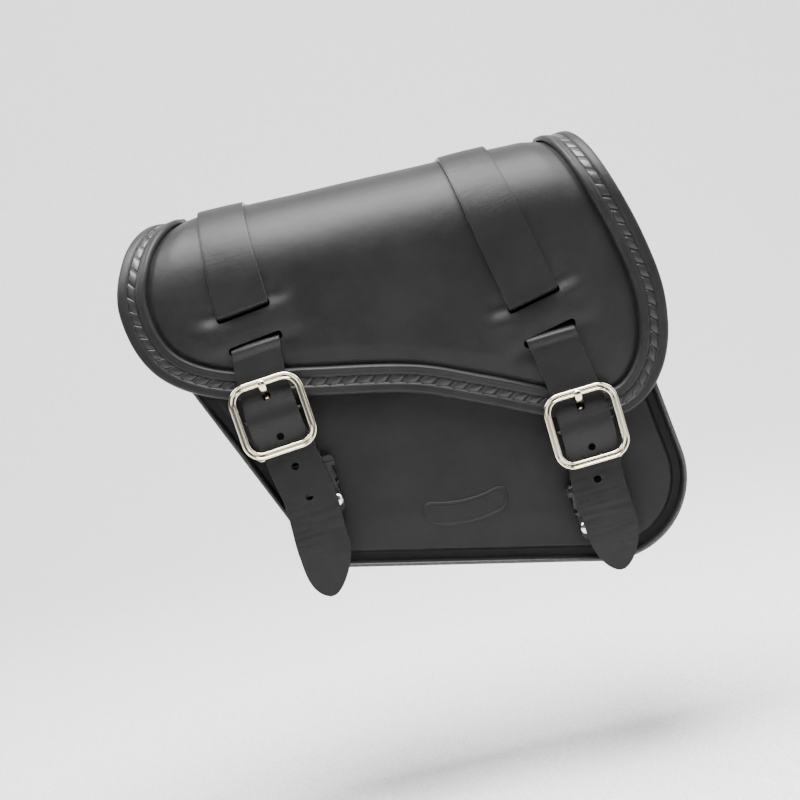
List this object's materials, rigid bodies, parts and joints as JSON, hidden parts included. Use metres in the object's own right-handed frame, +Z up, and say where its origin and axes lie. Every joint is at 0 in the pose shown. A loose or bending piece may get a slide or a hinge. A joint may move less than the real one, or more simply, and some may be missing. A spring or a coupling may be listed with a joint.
{
  "type": "motorcycle saddlebag",
  "caption": "Leather motorcycle side bag with a laced roll-over flap, woven buckle straps, hidden quick-release clips and a bolt-on back.",
  "frame": {"origin": "centre of the four mounting eyelets, on the flat back face", "axes": "+X towards the rear of the motorcycle, +Z up, +Y into the motorcycle; the bag stands out along -Y"},
  "size_m": [0.35, 0.1267, 0.2953],
  "materials": {
    "leather_body": "matte smooth black leather, lightly moulded",
    "leather_flap": "satin smooth black leather",
    "leather_border": "satin black leather with laced edge stitching",
    "leather_strap": "satin black strap leather with dark cut edges",
    "leather_tab": "black leather",
    "stiffener_board": "black plastic board",
    "nickel": "polished pale nickel",
    "rivet_metal": "polished nickel rivet",
    "eyelet_metal": "plated steel",
    "clip_plastic": "black acetal"
  },
  "bodies": {
    "root": {"back_panel": "leather_body", "back_stiffener": "stiffener_board", "hinge_band": "leather_body", "gusset": "leather_body", "front_panel": "leather_body", "front_welt": "leather_body", "rear_welt": "leather_body", "mount_eyelets": "eyelet_metal", "anchor_tab_front": "leather_tab", "anchor_tab_rear": "leather_tab", "clip_socket_front": "clip_plastic", "clip_socket_rear": "clip_plastic", "socket_rivets": "rivet_metal", "socket_washers": "eyelet_metal"},
    "flap": {"flap": "leather_flap", "flap_border": "leather_border", "strap_front_upper": "leather_strap", "strap_rear_upper": "leather_strap", "strap_rivets": "rivet_metal"},
    "closure_front": {"strap_front_lower": "leather_strap", "buckle_frame_front": "nickel", "clip_link_front": "leather_tab", "clip_plug_front": "clip_plastic"},
    "prong_front": {"prong_front": "nickel"},
    "clip_arm_front_left": {"clip_arm_front_left": "clip_plastic"},
    "clip_arm_front_right": {"clip_arm_front_right": "clip_plastic"},
    "closure_rear": {"strap_rear_lower": "leather_strap", "buckle_frame_rear": "nickel", "clip_link_rear": "leather_tab", "clip_plug_rear": "clip_plastic"},
    "prong_rear": {"prong_rear": "nickel"},
    "clip_arm_rear_left": {"clip_arm_rear_left": "clip_plastic"},
    "clip_arm_rear_right": {"clip_arm_rear_right": "clip_plastic"}
  },
  "joints": [
    {"name": "flap_hinge", "type": "hinge", "parent": "root", "child": "flap", "pos_m": [0, -0.00175, 0.073], "axis": [-1, 0, 0], "range_deg": [0, 120]},
    {"name": "clip_release_front", "type": "slide", "parent": "flap", "child": "closure_front", "axis": [-0.0958, 0, 0.9954], "range_m": [0, 0.016]},
    {"name": "prong_lift_front", "type": "hinge", "parent": "closure_front", "child": "prong_front", "pos_m": [-0.093, -0.11875, -0.032], "axis": [0.9954, 0, 0.0958], "range_deg": [0, 10]},
    {"name": "clip_arm_front_left_flex", "type": "hinge", "parent": "closure_front", "child": "clip_arm_front_left", "pos_m": [-0.09404, -0.1123, -0.07339], "axis": [0, -1, 0], "range_deg": [0, 12]},
    {"name": "clip_arm_front_right_flex", "type": "hinge", "parent": "closure_front", "child": "clip_arm_front_right", "pos_m": [-0.06617, -0.1123, -0.07071], "axis": [0, 1, 0], "range_deg": [0, 12]},
    {"name": "clip_release_rear", "type": "slide", "parent": "flap", "child": "closure_rear", "axis": [-0.061, 0, 0.9981], "range_m": [0, 0.016]},
    {"name": "prong_lift_rear", "type": "hinge", "parent": "closure_rear", "child": "prong_rear", "pos_m": [0.106, -0.11875, -0.085], "axis": [0.9981, 0, 0.061], "range_deg": [0, 10]},
    {"name": "clip_arm_rear_left_flex", "type": "hinge", "parent": "closure_rear", "child": "clip_arm_rear_left", "pos_m": [0.08954, -0.1123, -0.12718], "axis": [0, -1, 0], "range_deg": [0, 12]},
    {"name": "clip_arm_rear_right_flex", "type": "hinge", "parent": "closure_rear", "child": "clip_arm_rear_right", "pos_m": [0.11749, -0.1123, -0.12547], "axis": [0, 1, 0], "range_deg": [0, 12]}
  ],
  "couplings": [
    {"joint": "clip_arm_front_left_flex", "follows": "clip_release_front", "rad_per_m": 13.089},
    {"joint": "clip_arm_front_right_flex", "follows": "clip_release_front", "rad_per_m": 13.089},
    {"joint": "clip_arm_rear_left_flex", "follows": "clip_release_rear", "rad_per_m": 13.089},
    {"joint": "clip_arm_rear_right_flex", "follows": "clip_release_rear", "rad_per_m": 13.089}
  ]
}
